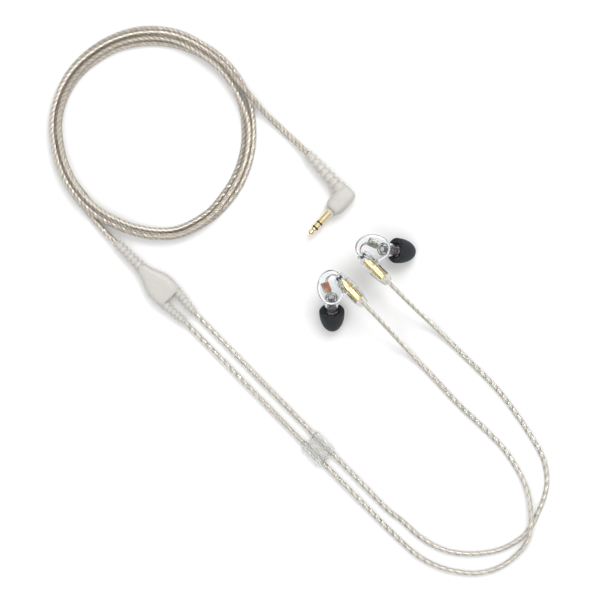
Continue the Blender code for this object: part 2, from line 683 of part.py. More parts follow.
def make_jack(axis):
    """The jack's collar and contacts, from the body's face to the tip."""
    for name, (finish, outer, inner, low, high) in JACK_RINGS.items():
        turned(name, tube_profile(outer, inner, low, high), finish, axis, 16, True)
    tip = [(radius * MM, along * MM) for radius, along in JACK_TIP]
    tip += [(JACK_RADIUS, JACK_TIP_BACK), (JACK_STEM_RADIUS, JACK_TIP_BACK),
            (JACK_STEM_RADIUS, JACK_STEM_BACK), (0.0, JACK_STEM_BACK)]
    turned("jack_tip_contact", tip, "gold", axis, steps=16)


def make_plug():
    """The right-angle plug: its body, the ribbed relief at its side, and the jack."""
    frame = add_empty("plug_frame", (*PLUG_FACE, PLUG_HEIGHT), (0.0, 0.0, PLUG_HEADING))
    axis = add_empty("jack_axis", (0.0, 0.0, 0.0), axis_rotation(0.0), frame)
    body = block("plug_body", PLUG_BODY_SIZE, "clear_rubber", frame,
                 (-PLUG_BODY_SIZE[0] / 2, 0.0, 0.0), 0.0, PLUG_BODY_EDGE, 3)
    start = Vector((*PLUG_RELIEF_START, 0.0))
    end = Vector((*PLUG_RELIEF_END, 0.0))
    run = end - start
    relief_axis = add_empty("plug_relief_axis", start,
                            axis_rotation(math.atan2(run.y, run.x)), frame)
    turned("plug_relief", ribbed_profile(PLUG_RELIEF_RADII, run.length, 7),
           "clear_rubber", relief_axis, steps=14)
    boss_start = run.length + GAP
    boss = turned_cutter("plug_boss",
                         rod_profile(PLUG_BOSS_RADIUS, boss_start, boss_start + PLUG_BOSS_LENGTH),
                         relief_axis)
    bore = turned_cutter("plug_bore", rod_profile(JACK_RADIUS + GAP, JACK_BACK - GAP, MM), axis)
    cut(body, boss, "UNION")
    cut(body, bore)
    make_jack(axis)


def main():
    for side in SIDES:
        make_earphone(side)
    make_split()
    make_slider()
    make_cables()
    make_plug()


main()
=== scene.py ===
"""The looks of a pair of in-ear monitors with a coiled detachable cable.

Units are metres and +Z is up. The table is z = 0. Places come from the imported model's
joints and boxes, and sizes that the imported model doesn't hold are named below.
"""
import json
import math

import bmesh
import bpy
from mathutils import Matrix, Vector


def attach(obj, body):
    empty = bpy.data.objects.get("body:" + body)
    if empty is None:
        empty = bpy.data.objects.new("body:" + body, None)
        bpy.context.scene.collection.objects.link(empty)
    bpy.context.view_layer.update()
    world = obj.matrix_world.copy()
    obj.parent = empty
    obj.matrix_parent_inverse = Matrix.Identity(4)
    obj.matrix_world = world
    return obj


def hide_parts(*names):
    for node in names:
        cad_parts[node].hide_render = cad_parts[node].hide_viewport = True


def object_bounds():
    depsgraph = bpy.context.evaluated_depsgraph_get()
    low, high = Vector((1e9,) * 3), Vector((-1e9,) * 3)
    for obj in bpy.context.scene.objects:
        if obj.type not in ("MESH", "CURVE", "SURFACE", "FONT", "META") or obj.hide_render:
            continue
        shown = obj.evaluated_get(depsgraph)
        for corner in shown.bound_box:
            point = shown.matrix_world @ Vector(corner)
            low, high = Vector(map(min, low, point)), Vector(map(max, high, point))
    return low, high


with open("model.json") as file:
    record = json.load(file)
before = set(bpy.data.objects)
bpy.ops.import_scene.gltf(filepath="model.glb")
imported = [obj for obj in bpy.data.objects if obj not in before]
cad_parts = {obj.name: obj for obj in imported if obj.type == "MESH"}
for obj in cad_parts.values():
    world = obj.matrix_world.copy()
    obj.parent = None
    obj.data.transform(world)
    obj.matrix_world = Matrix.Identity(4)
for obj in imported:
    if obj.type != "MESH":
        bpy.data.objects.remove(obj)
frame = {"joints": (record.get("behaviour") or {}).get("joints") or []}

CAD_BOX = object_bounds()
MM = 0.001
GAP = 0.3 * MM
JOINTS = {joint["name"]: joint for joint in frame["joints"]}

# Camera: straight above the set, far off with a long lens, framing its box.
CAMERA_LENS = 160.0
SENSOR_WIDTH = 36.0
CAMERA_MARGIN = 1.0965
CAMERA_SHIFT = (0.4 * MM, 0.7 * MM)
CAMERA_CLIP = (0.01, 20.0)

# Stage: lights by name, power, size and place, and the sky's greys by height.
LIGHTS = [("key_light", 8.0, 0.7, (0.2, 0.75, 1.1)), ("fill_light", 3.2, 0.9, (-0.4, -0.5, 1.2))]
LIGHT_AIM = (-0.03, 0.0, 0.0)
LIGHT_BOUNCES = 32
SKY_GREYS = [(0.0, 0.50), (0.08, 0.24), (0.30, 0.34), (0.65, 0.78)]
FLOOR_HALF = 2.5

# Cable routes in millimetres. The legs' run from the boots to where they run straight.
LEFT_ROUTE = [
    (2.5, -14.5, 18.7), (6.7, -18.8, 16.4), (10.9, -23.1, 12.6), (15.0, -27.5, 8.3),
    (19.8, -32.6, 4.3), (26.5, -39.7, 1.6), (33.7, -47.2, 1.25), (45.8, -60.2, 1.2),
    (58.6, -72.3, 1.2), (68.6, -82.6, 1.2), (76.2, -94.0, 1.25), (80.4, -103.5, 2.0),
    (82.2, -113.5, 3.7), (82.0, -121.0, 4.0), (80.5, -128.0, 3.7), (75.5, -135.3, 2.0),
    (67.0, -141.8, 1.25), (57.0, -144.8, 1.2), (47.0, -144.5, 1.2), (37.0, -142.0, 1.2),
    (27.0, -137.0, 1.2), (17.5, -129.0, 1.2),
]
RIGHT_ROUTE = [
    (14.4, -3.6, 18.7), (18.6, -7.7, 16.4), (23.0, -11.8, 12.6), (27.5, -15.9, 8.3),
    (32.8, -20.7, 4.3), (41.8, -29.4, 1.6), (50.5, -37.9, 1.25), (59.0, -46.2, 1.2),
    (67.0, -54.8, 1.2), (75.0, -65.3, 1.2), (84.0, -79.0, 1.2), (88.8, -88.5, 1.2),
    (90.4, -98.0, 1.2), (89.3, -106.0, 1.2), (86.0, -114.5, 1.2), (82.2, -122.0, 1.2),
    (77.0, -127.7, 1.2), (67.5, -133.0, 1.2), (57.0, -135.1, 1.2), (46.5, -135.0, 1.2),
    (36.5, -132.4, 1.2), (27.0, -126.8, 1.2), (17.5, -118.4, 1.2),
]
PLUG_CABLE_ROUTE = [
    (-51.6, 85.9, 3.4), (-46.5, 80.9, 2.2), (-40.5, 75.2, 1.7), (-35.5, 70.5, 2.2),
    (-31.5, 66.7, 3.4), (-29.3, 64.6, 4.1),
]
SPLIT_CABLE_ROUTE = [
    (-124.7, 20.4, 3.3), (-127.2, 22.6, 2.8), (-129.6, 24.8, 2.3), (-131.2, 26.4, 2.0),
]
# The legs' straight run, as places along the Y-split's line and heights above the table.
STRAIGHT_RUN = [(190.0, 1.3), (172.0, 1.75), (150.0, 1.75), (120.0, 1.75), (90.0, 1.75),
                (61.0, 1.75), (53.2, 2.45), (52.3, 2.6)]
LEG_RADIUS = 1.15 * MM
TRUNK_RADIUS = 1.5 * MM
LEG_SPLINE_STEP = 2.0 * MM
TRUNK_SPLINE_STEP = 1.6 * MM
ROUTE_STEPS = 24

# Strands: their radius, the radius of their lay and its pitch as shares of the cable's
# radius, and each finish's places round the lay in turns.
STRAND_SHARE = 0.29
LAY_SHARE = 0.40
PITCH_SHARE = 3.6
STRAND_STEPS = 12
LEG_STRANDS = {"silver": (0.0, 0.25, 0.5), "champagne": (0.75,)}
TRUNK_STRANDS = {"silver": (0.0, 0.5), "champagne": (0.25, 0.75)}

# The coil, in millimetres and degrees. Its lower layer has an outer and an inner strand,
# which leave and near each other round the ring: angle, middle radius and half spacing.
COIL_CENTRE = (-105.25 * MM, 74.5 * MM)
COIL_START = 219.5
COIL_TURNS = 3.52
COIL_FLOOR = 1.56
COIL_SPACING = 3.02
COIL_STEPS_PER_TURN = 30
COIL_RING = [
    (0, 46.9, 2.1), (36, 48.0, 2.2), (60, 47.9, 2.4), (80, 48.6, 3.2), (98, 49.2, 3.4),
    (120, 49.6, 2.9), (150, 50.4, 2.2), (168, 50.2, 1.7), (186, 49.0, 1.55), (206, 48.7, 1.7),
    (228, 48.7, 2.0), (250, 48.6, 1.6), (266, 49.8, 1.55), (282, 50.5, 1.6), (300, 49.3, 1.65),
    (318, 47.8, 2.15), (340, 47.0, 2.2),
]
# Where the cable lies in turn: turns made, side (1 outer, -1 inner) and layer. Each new
# turn starts at the outside and pushes the one before inwards, then up.
COIL_LAY = [
    (0.00, 1.0, 0.0), (0.89, 1.0, 0.0), (1.00, -1.0, 0.0), (1.83, -1.0, 0.0),
    (1.93, -1.0, 1.0), (2.38, -1.0, 1.0), (2.46, -1.6, 1.0), (2.52, -1.6, 1.0),
    (2.61, 0.0, 1.0), (2.70, 0.0, 1.0), (2.80, 1.0, 1.0), (3.38, 1.0, 1.0),
    (3.46, 0.35, 1.0), (3.52, 0.5, 1.0),
]

# Y-split, slider and plug, in their own frames.
SPLIT_START = (-124.4 * MM, 20.1 * MM)
SPLIT_HEIGHT = 3.4 * MM
SPLIT_BODY_END = 38.6 * MM
TRUNK_RELIEF_LENGTH = 17.3 * MM
TRUNK_RELIEF_RADII = (2.3 * MM, 3.1 * MM)
LEG_RELIEF_RADII = (1.9 * MM, 2.6 * MM)
LEG_RELIEF_END = 52.0 * MM
LEG_RELIEF_HEIGHT = 2.6 * MM
LEG_SPACING = 6.6 * MM
LEG_EXIT_SPACING = 9.4 * MM
# The Y-split's sections: place along it, half width and half height.
SPLIT_SECTIONS = [(17.6, 3.0, 2.9), (19.0, 3.3, 3.1), (21.5, 4.0, 3.2), (25.0, 5.5, 3.3),
                  (28.5, 6.8, 3.35), (32.0, 7.3, 3.35), (35.0, 7.3, 3.3), (37.2, 6.9, 3.1),
                  (38.3, 6.3, 2.7), (38.7, 5.6, 2.2)]
SPLIT_SQUARENESS = 0.75
SPLIT_SIDES = 64
RELIEF_OVERLAP = 0.8 * MM
RIB_GROOVE = (0.30, 0.70)
RIB_ROUNDING = 0.22 * MM
SLIDER_PLACE = 143.7 * MM
SLIDER_SIZE = (13.6 * MM, 11.0 * MM, 4.4 * MM)
SLIDER_EDGE = 1.2 * MM
SLIDER_NOTCH_RADIUS = 1.9 * MM
SLIDER_FLOOR = 0.05 * MM
SLIDER_LEG_HEIGHT = 1.75 * MM
PLUG_FACE = (-17.5 * MM, 36.0 * MM, 4.4 * MM)
PLUG_HEADING = math.radians(227.5)
PLUG_BODY_SIZE = (14.6 * MM, 9.2 * MM, 8.6 * MM)
PLUG_EDGE = 2.8 * MM
PLUG_RELIEF_START = (-13.1 * MM, -27.6 * MM)
PLUG_RELIEF_END = (-11.2 * MM, -6.0 * MM)
PLUG_RELIEF_RADII = (2.5 * MM, 3.6 * MM)
PLUG_BOSS_RADIUS = 3.55 * MM
JACK_RADIUS = 1.75 * MM
JACK_BORE = 0.75 * MM
JACK_TIP_OUTLINE = [(0.0, 16.3), (0.5, 16.2), (1.15, 15.6), (1.62, 14.75), (1.12, 13.4),
                    (1.75, 12.7), (1.75, 11.85), (0.45, 11.85), (0.45, -5.0), (0.0, -5.0)]

# Earphone. Outlines are radius and place along the axis, in millimetres.
HOUSING_BACK = 7.3 * MM
HOUSING_ASIDE = 6.1 * MM
HOUSING_HALF = (8.75 * MM, 6.9 * MM, 5.6 * MM)
HOUSING_SQUARENESS = 0.75
SHELL_WALL = 0.9 * MM
PARTING_HEIGHT = 2.0 * MM
NOZZLE_START = 6.2 * MM
NOZZLE_END = 23.2 * MM
NOZZLE_RADIUS = 2.2 * MM
NOZZLE_BORE = 1.4 * MM
SLEEVE_RADIUS = 6.3 * MM
DOME_CENTRE = 15.9 * MM
DOME_LENGTH = 11.6 * MM
DOME_SWEEP = math.radians(66)
DOME_STEPS = 24
SLEEVE_OPENING = 2.0 * MM
CORE_WALL = 0.8 * MM
CORE_START = 16.8 * MM
CORE_END = 24.0 * MM
NECK_OUTLINE = [(0.0, 14.8), (3.0, 14.8), (3.3, 12.0), (3.5, 10.6), (3.65, 9.2), (3.65, 8.0),
                (3.3, 6.4), (2.8, 5.2), (0.0, 5.2)]
SLEEVE_REAR = [(6.3, 15.4), (6.1, 15.1), (5.7, 15.05), (4.2, 15.5), (3.65, 16.2)]
SLEEVE_BORE_START = 17.0 * MM
COLLAR_RADIUS = 3.85 * MM
COLLAR_WAIST = 3.45 * MM
COLLAR_REAR = 2.5 * MM
SOCKET_ROOM_OUTLINE = [(0.0, 1.0), (2.75, 1.0), (2.75, -7.2), (2.2, -7.2), (2.2, -8.7),
                       (1.4, -8.7), (1.4, -10.4), (0.0, -10.4)]
BOOT_END = 10.4 * MM
BOOT_OUTLINE = [(0.0, 10.4), (2.0, 10.4), (2.5, 8.9), (3.1, 6.6), (3.6, 3.2), (3.8, 1.2),
                (3.8, 0.4), (0.0, 0.4)]
BARREL_END = 6.5 * MM
BARREL_RADIUS = 2.15 * MM
BARREL_SEAT = 0.4 * MM
NOSE_RADIUS = 1.85 * MM
NOSE_END = -4.4 * MM
NOSE_BORE = 1.35 * MM
GROOVE_RADIUS = 1.55 * MM
GROOVE_HALF = 0.5 * MM
RING_PLACE = -2.4 * MM
RING_RADIUS = 1.93 * MM
RING_WIRE_RADIUS = 0.17 * MM
WIRE_RADIUS = 0.18 * MM
SIDES = {"left": -1, "right": 1}

# What the housings hold, in millimetres and degrees: name, material, finish, size, place,
# turn, edge and node, and then the wires with their routes.
INNER_BLOCKS = [
    ("woofer_can", "driver", "driver_steel", (5.2, 4.0, 2.6), (-0.2, 2.4, 0.9), -20, 0.5,
     "woofer_driver"),
    ("tweeter_can", "driver", "driver_steel", (3.4, 2.4, 1.8), (2.3, 1.1, -1.6), -10, 0.4,
     "tweeter_driver"),
    ("flex_board", "board", "copper_board", (4.2, 3.2, 0.5), (-0.3, 2.0, 3.0), -20, 0.12,
     "crossover_board"),
]
BOARD_MATERIALS = {"left": "copper", "right": "olive_board"}
INNER_WIRES = [
    ("signal_wire", "red_wire",
     [(-5.9, -2.9, 0.9), (-6.1, -1.2, 1.4), (-5.1, 0.8, 2.0), (-3.2, 1.9, 2.9)]),
    ("ground_wire", "dark_wire",
     [(-5.9, -2.9, -0.9), (-6.2, -0.9, -1.0), (-5.0, 1.6, -0.4), (-3.2, 2.6, 0.6)]),
]

GRAIN_DETAIL = 4.0
GRAIN_BAND = (0.3, 0.7)
TURNED_SHARPNESS = math.radians(35)
LOFTED_SHARPNESS = math.radians(50)
MERGE_DISTANCE = 0.002 * MM


# ---------------------------------------------------------------- materials

def new_material(name, colour, roughness=0.5, metallic=0.0, **inputs):
    """A Principled material with steady values on its own sockets."""
    material = bpy.data.materials.new(name)
    material.use_nodes = True
    shader = material.node_tree.nodes["Principled BSDF"]
    shader.inputs["Base Color"].default_value = (*colour, 1.0)
    shader.inputs["Roughness"].default_value = roughness
    shader.inputs["Metallic"].default_value = metallic
    for socket, value in inputs.items():
        shader.inputs[socket.replace("_", " ")].default_value = value
    return material


def add_node(material, kind, **values):
    """A node with its input sockets or, where it has none of that name, properties set."""
    node = material.node_tree.nodes.new(kind)
    for name, value in values.items():
        if name in node.inputs:
            node.inputs[name].default_value = value
        else:
            setattr(node, name, value)
    return node


def link(material, source, output, target, socket):
    material.node_tree.links.new(source.outputs[output], target.inputs[socket])


def add_grain(material, scale, roughness=None, colours=None, bump=0.0, depth=0.1 * MM,
              pattern="ShaderNodeTexNoise"):
    """Fine variation of roughness, colour and surface from one solid pattern."""
    shader = material.node_tree.nodes["Principled BSDF"]
    coordinates = add_node(material, "ShaderNodeTexCoord")
    grain = add_node(material, pattern, Scale=scale)
    if pattern == "ShaderNodeTexNoise":
        grain.inputs["Detail"].default_value = GRAIN_DETAIL
    output = "Fac" if pattern == "ShaderNodeTexNoise" else "Distance"
    link(material, coordinates, "Object", grain, "Vector")
    if roughness:
        spread = add_node(material, "ShaderNodeMapRange")
        spread.inputs["To Min"].default_value, spread.inputs["To Max"].default_value = roughness
        link(material, grain, output, spread, "Value")
        link(material, spread, "Result", shader, "Roughness")
    if colours:
        ramp = add_node(material, "ShaderNodeValToRGB")
        for element, position, colour in zip(ramp.color_ramp.elements, GRAIN_BAND, colours):
            element.position = position
            element.color = (*colour, 1.0)
        link(material, grain, output, ramp, "Fac")
        link(material, ramp, "Color", shader, "Base Color")
    if bump:
        relief = add_node(material, "ShaderNodeBump", Strength=bump, Distance=depth)
        link(material, grain, output, relief, "Height")
        link(material, relief, "Normal", shader, "Normal")
    return material


def make_materials():
    """Every material, by the short name that the pieces use."""
    made = {}
    made["clear_shell"] = add_grain(
        new_material("clear_shell", (0.95, 0.965, 0.97), 0.03, IOR=1.38,
                     Transmission_Weight=1.0),
        300.0, roughness=(0.01, 0.05))
    made["clear_collar"] = add_grain(
        new_material("clear_collar", (0.965, 0.975, 0.985), 0.03, IOR=1.2,
                     Transmission_Weight=1.0),
        300.0, roughness=(0.01, 0.05))
    made["clear_boot"] = add_grain(
        new_material("clear_boot", (0.975, 0.965, 0.92), 0.06, IOR=1.25,
                     Transmission_Weight=1.0),
        300.0, roughness=(0.03, 0.1))
    made["clear_rubber"] = add_grain(
        new_material("clear_rubber", (0.80, 0.78, 0.74), 0.34, IOR=1.43,
                     Transmission_Weight=0.35),
        900.0, roughness=(0.26, 0.42), colours=((0.76, 0.74, 0.69), (0.84, 0.82, 0.78)))
    made["slider"] = add_grain(
        new_material("slider_clear", (0.93, 0.93, 0.91), 0.2, IOR=1.30,
                     Transmission_Weight=0.8),
        500.0, roughness=(0.12, 0.28))
    made["jacket"] = add_grain(
        new_material("cable_jacket_clear", (0.985, 0.98, 0.965), 0.04, IOR=1.38,
                     Transmission_Weight=1.0),
        400.0, roughness=(0.02, 0.07))
    made["silver"] = add_grain(
        new_material("silver_strand", (0.90, 0.89, 0.85), 0.4, 1.0),
        2500.0, roughness=(0.25, 0.4), bump=0.3, depth=0.04 * MM,
        colours=((0.82, 0.82, 0.78), (0.97, 0.96, 0.92)))
    made["champagne"] = add_grain(
        new_material("champagne_strand", (0.77, 0.66, 0.55), 0.4, 1.0),
        2500.0, roughness=(0.25, 0.4), bump=0.3, depth=0.04 * MM,
        colours=((0.66, 0.54, 0.42), (0.88, 0.79, 0.68)))
    made["gold"] = add_grain(
        new_material("gold_plate", (0.92, 0.78, 0.45), 0.14, 1.0),
        900.0, roughness=(0.08, 0.2), bump=0.06,
        colours=((0.88, 0.72, 0.37), (0.96, 0.84, 0.54)))
    made["foam"] = add_grain(
        new_material("black_foam", (0.011, 0.015, 0.02), 0.85, Sheen_Weight=0.08),
        2600.0, roughness=(0.75, 0.95), bump=0.8, depth=0.12 * MM,
        colours=((0.006, 0.009, 0.012), (0.016, 0.022, 0.028)))
    made["black_plastic"] = add_grain(
        new_material("black_plastic_moulded", (0.02, 0.02, 0.022), 0.4),
        1200.0, roughness=(0.3, 0.5), bump=0.1)
    made["white_plastic"] = add_grain(
        new_material("white_plastic_moulded", (0.82, 0.81, 0.78), 0.4),
        1200.0, roughness=(0.3, 0.5), bump=0.1)
    made["driver"] = add_grain(
        new_material("driver_can", (0.30, 0.30, 0.26), 0.3, 1.0),
        1500.0, roughness=(0.2, 0.42), bump=0.1,
        colours=((0.24, 0.24, 0.20), (0.38, 0.37, 0.32)))
    made["copper"] = add_grain(
        new_material("copper_flex", (0.42, 0.10, 0.03), 0.35),
        1100.0, roughness=(0.25, 0.45), bump=0.1,
        colours=((0.30, 0.05, 0.02), (0.60, 0.20, 0.06)))
    made["nozzle"] = add_grain(
        new_material("nozzle_smoked", (0.84, 0.80, 0.82), 0.15, IOR=1.30,
                     Transmission_Weight=0.92),
        600.0, roughness=(0.1, 0.25))
    made["olive_board"] = add_grain(
        new_material("olive_flex", (0.16, 0.16, 0.11), 0.35),
        1100.0, roughness=(0.25, 0.45), bump=0.1,
        colours=((0.11, 0.11, 0.08), (0.24, 0.23, 0.17)))
    made["mesh"] = add_grain(
        new_material("damper_mesh", (0.45, 0.45, 0.46), 0.4, 1.0),
        9000.0, roughness=(0.3, 0.5), bump=0.6, depth=0.05 * MM,
        pattern="ShaderNodeTexVoronoi")
    made["red_wire"] = add_grain(
        new_material("red_wire_enamel", (0.42, 0.02, 0.015), 0.3),
        1500.0, roughness=(0.2, 0.4))
    made["dark_wire"] = add_grain(
        new_material("dark_wire_enamel", (0.03, 0.03, 0.04), 0.3),
        1500.0, roughness=(0.2, 0.4))
    made["floor"] = add_grain(
        new_material("pale_table", (0.93, 0.93, 0.93), 0.6),
        20.0, roughness=(0.55, 0.65))
    return made


MATERIALS = make_materials()


# ---------------------------------------------------------------- geometry helpers

def add_object(name, data, material, matrix=None):
    obj = bpy.data.objects.new(name, data)
    bpy.context.scene.collection.objects.link(obj)
    if hasattr(data, "materials"):
        data.materials.append(MATERIALS[material])
    if matrix is not None:
        obj.matrix_world = matrix
    return obj


def place(obj, body, slot, *nodes):
    """The piece rides on a body and stands for these CAD nodes, which it hides. Its slot is not
    used.
    """
    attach(obj, body)
    if nodes:
        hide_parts(*nodes)
    return obj


def add_cutter(name, data, matrix):
    """A hidden shape for one boolean step, which takes it away again."""
    cutter = bpy.data.objects.new(name, data)
    bpy.context.scene.collection.objects.link(cutter)
    cutter.matrix_world = matrix
    cutter.hide_render = True
    cutter.hide_viewport = True
    return cutter


def axis_frame(origin, direction):
    """A frame whose Z runs along a direction and whose X is as level as it can be."""
    z = Vector(direction).normalized()
    x = Vector((0, 0, 1)).cross(z)
    x = x.normalized() if x.length > 1e-6 else Vector((1, 0, 0))
    y = z.cross(x)
    matrix = Matrix((x, y, z)).transposed().to_4x4()
    matrix.translation = Vector(origin)
    return matrix


def flat_frame(origin, heading):
    """A level frame whose X runs along a heading."""
    return Matrix.Translation(Vector(origin)) @ Matrix.Rotation(heading, 4, "Z")


def rounded(corners, radius, steps=4):
    """A profile with its corners rounded. Its first and last points stay as they are."""
    profile = [Vector(corners[0])]
    for before, corner, after in zip(corners, corners[1:], corners[2:]):
        corner = Vector(corner)
        back, ahead = Vector(before) - corner, Vector(after) - corner
        reach = min(radius, 0.45 * back.length, 0.45 * ahead.length)
        start = corner + back.normalized() * reach
        end = corner + ahead.normalized() * reach
        for step in range(steps + 1):
            t = step / steps
            profile.append((1 - t) ** 2 * start + 2 * t * (1 - t) * corner + t * t * end)
    profile.append(Vector(corners[-1]))
    return profile


def loop_rounded(corners, radius, steps=4):
    """A closed profile with every corner rounded."""
    wrapped = [corners[-1]] + list(corners) + [corners[0]]
    return rounded(wrapped, radius, steps)[1:-1]


def profile_mesh(name, profile, closed):
    """An outline of radius and place along the axis, as edges in the XZ plane."""
    mesh = bpy.data.meshes.new(name)
    corners = [(point[0], 0.0, point[1]) for point in profile]
    edges = [(i, i + 1) for i in range(len(corners) - 1)]
    if closed:
        edges.append((len(corners) - 1, 0))
    mesh.from_pydata(corners, edges, [])
    return mesh


def add_turning(obj, steps):
    screw = obj.modifiers.new("turn", "SCREW")
    screw.steps = steps
    screw.render_steps = steps
    screw.use_merge_vertices = True
    screw.merge_threshold = MERGE_DISTANCE
    screw.use_smooth_shade = True


def apply_modifiers(obj):
    """The piece's modifiers become its mesh, smooth except at sharp edges."""
    bpy.context.view_layer.update()
    graph = bpy.context.evaluated_depsgraph_get()
    mesh = bpy.data.meshes.new_from_object(obj.evaluated_get(graph))
    mesh.name = obj.name
    obj.modifiers.clear()
    obj.data = mesh
    mesh.shade_smooth()
    mesh.set_sharp_from_angle(angle=TURNED_SHARPNESS)
    return obj


def mesh_of_curve(curve):
    maker = bpy.data.objects.new("maker", curve)
    mesh = bpy.data.meshes.new_from_object(maker)
    bpy.data.objects.remove(maker)
    mesh.shade_smooth()
    mesh.set_sharp_from_angle(angle=LOFTED_SHARPNESS)
    return mesh


def turned(name, profile, material, matrix, steps=64, closed=False):
    """A piece turned round its frame's Z from an outline."""
    obj = add_object(name, profile_mesh(name, profile, closed), material, matrix)
    add_turning(obj, steps)
    return apply_modifiers(obj)


def turned_cutter(name, profile, matrix, steps=64):
    cutter = add_cutter(name, profile_mesh(name, profile, False), matrix)
    add_turning(cutter, steps)
    return cutter


def outline(points):
    """An outline given in millimetres."""
    return [(radius * MM, along * MM) for radius, along in points]


def rod(radius, low, high):
    return [(0.0, high), (radius, high), (radius, low), (0.0, low)]


def tube(outer, inner, low, high):
    return [(outer, high), (outer, low), (inner, low), (inner, high)]


def combine(obj, *steps):
    """Boolean steps, each an operation and a cutter, applied to the piece's mesh."""
    for operation, cutter in steps:
        cutter.hide_viewport = False
        boolean = obj.modifiers.new("boolean", "BOOLEAN")
        boolean.operation = operation
        boolean.object = cutter
    apply_modifiers(obj)
    for _, cutter in steps:
        bpy.data.objects.remove(cutter)
    return obj


def rounded_block(name, size, edge, material, matrix, segments=5):
    bm = bmesh.new()
    bmesh.ops.create_cube(bm, size=1.0)
    bmesh.ops.scale(bm, vec=size, verts=bm.verts)
    bmesh.ops.bevel(bm, geom=bm.edges[:], offset=edge, segments=segments, profile=0.5,
                    affect="EDGES")
    mesh = bpy.data.meshes.new(name)
    bm.to_mesh(mesh)
    bm.free()
    mesh.shade_smooth()
    return add_object(name, mesh, material, matrix)


# ---------------------------------------------------------------- cords

def smooth_route(points, spacing):
    """Evenly spaced points on a smooth curve through the route's own points."""
    route = [Vector(point) for point in points]
    route = [2 * route[0] - route[1]] + route + [2 * route[-1] - route[-2]]
    fine = []
    for before, start, end, after in zip(route, route[1:], route[2:], route[3:]):
        for step in range(ROUTE_STEPS):
            t = step / ROUTE_STEPS
            fine.append(0.5 * (2 * start + (end - before) * t
                               + (2 * before - 5 * start + 4 * end - after) * t ** 2
                               + (3 * start - before - 3 * end + after) * t ** 3))
    fine.append(route[-2])
    lengths = [0.0]
    for start, end in zip(fine, fine[1:]):
        lengths.append(lengths[-1] + (end - start).length)
    count = max(2, round(lengths[-1] / spacing))
    even = []
    index = 0
    for step in range(count + 1):
        target = lengths[-1] * step / count
        while index < len(fine) - 2 and lengths[index + 1] < target:
            index += 1
        share = (target - lengths[index]) / max(1e-9, lengths[index + 1] - lengths[index])
        even.append(fine[index].lerp(fine[index + 1], share))
    return even


def tube_curve_data(name, paths, radius, resolution):
    """Round tubes along lists of points, as one curve."""
    curve = bpy.data.curves.new(name, "CURVE")
    curve.dimensions = "3D"
    curve.bevel_depth = radius
    curve.bevel_resolution = resolution
    curve.use_fill_caps = True
    for points in paths:
        spline = curve.splines.new("POLY")
        spline.points.add(len(points) - 1)
        for spline_point, point in zip(spline.points, points):
            spline_point.co = (*point, 1.0)
            spline_point.radius = 1.0
        spline.use_smooth = True
    return curve


def tube_curve(name, paths, radius, material, resolution):
    """Round tubes along lists of points, as one curve object."""
    return add_object(name, tube_curve_data(name, paths, radius, resolution), material)


def twisted_paths(centreline, lay_radius, pitch, phases):
    """Strands that wind round a centreline, one for each phase in turns."""
    normal = Vector((0, 0, 1))
    paths = [[] for _ in phases]
    travelled = 0.0
    for index, point in enumerate(centreline):
        ahead = centreline[min(index + 1, len(centreline) - 1)]
        behind = centreline[max(index - 1, 0)]
        tangent = (ahead - behind).normalized()
        normal = (normal - normal.dot(tangent) * tangent).normalized()
        side = tangent.cross(normal)
        if index:
            travelled += (point - centreline[index - 1]).length
        for path, phase in zip(paths, phases):
            angle = 2 * math.pi * (travelled / pitch + phase)
            path.append(point + lay_radius * (math.cos(angle) * normal + math.sin(angle) * side))
    return paths


def add_strands(name, jacket, route, radius, strands):
    """The twisted conductors inside a jacket: each finish and its phases in turns."""
    pitch = PITCH_SHARE * radius
    centreline = smooth_route(route, pitch / STRAND_STEPS)
    for finish, phases in strands.items():
        paths = twisted_paths(centreline, LAY_SHARE * radius, pitch, phases)
        strand_name = f"{name}_{finish}_strands"
        curve = tube_curve_data(strand_name, paths, STRAND_SHARE * radius, 1)
        conductors = add_object(strand_name, mesh_of_curve(curve), finish)
        conductors.parent = jacket


def split_point(along, across, height):
    """A point measured from the start of the Y-split, along the line of the legs."""
    direction = Vector(JOINTS["cinch_slide"]["axis"])
    return Vector((SPLIT_START[0] + along * direction.x - across * direction.y,
                   SPLIT_START[1] + along * direction.y + across * direction.x, height))


def connector_point(side, along):
    """A point on the axis of an earphone's connector, measured towards the cable."""
    swivel = JOINTS[side + "_swivel"]
    return Vector(swivel["pos_m"]) + along * Vector(swivel["axis"])


def plug_point(x, y):
    """A point at the height of the jack's axis, measured from the plug body's face."""
    return flat_frame(PLUG_FACE, PLUG_HEADING) @ Vector((x, y, 0.0))


def metres(points):
    return [Vector(point) * MM for point in points]


def make_leg(side, points):
    """One leg: its jacket from the boot to the Y-split's relief, and its strands."""
    across = LEG_SPACING / 2 * SIDES[side]
    exit_point = connector_point(side, BOOT_END + GAP)
    route = [exit_point] + metres(points)
    route += [split_point(along * MM, across, height * MM) for along, height in STRAIGHT_RUN]
    name = side + "_leg"
    centreline = smooth_route(route, LEG_SPLINE_STEP)
    jacket = tube_curve(name + "_jacket", [centreline], LEG_RADIUS, "jacket", 4)
    place(jacket, "cable", "cable_jacket", side + "_leg_cable")
    inside = [split_point(45.0 * MM, 0.5 * (LEG_SPACING + LEG_EXIT_SPACING) / 2 * SIDES[side],
                          3.0 * MM),
              split_point(38.6 * MM, LEG_EXIT_SPACING / 2 * SIDES[side], 3.4 * MM),
              split_point(33.0 * MM, 2.6 * MM * SIDES[side], 3.4 * MM),
              split_point(28.0 * MM, 1.0 * MM * SIDES[side], 3.4 * MM)]
    add_strands(name, jacket, [connector_point(side, BARREL_END + 0.5 * MM)] + route + inside,
                LEG_RADIUS, LEG_STRANDS)


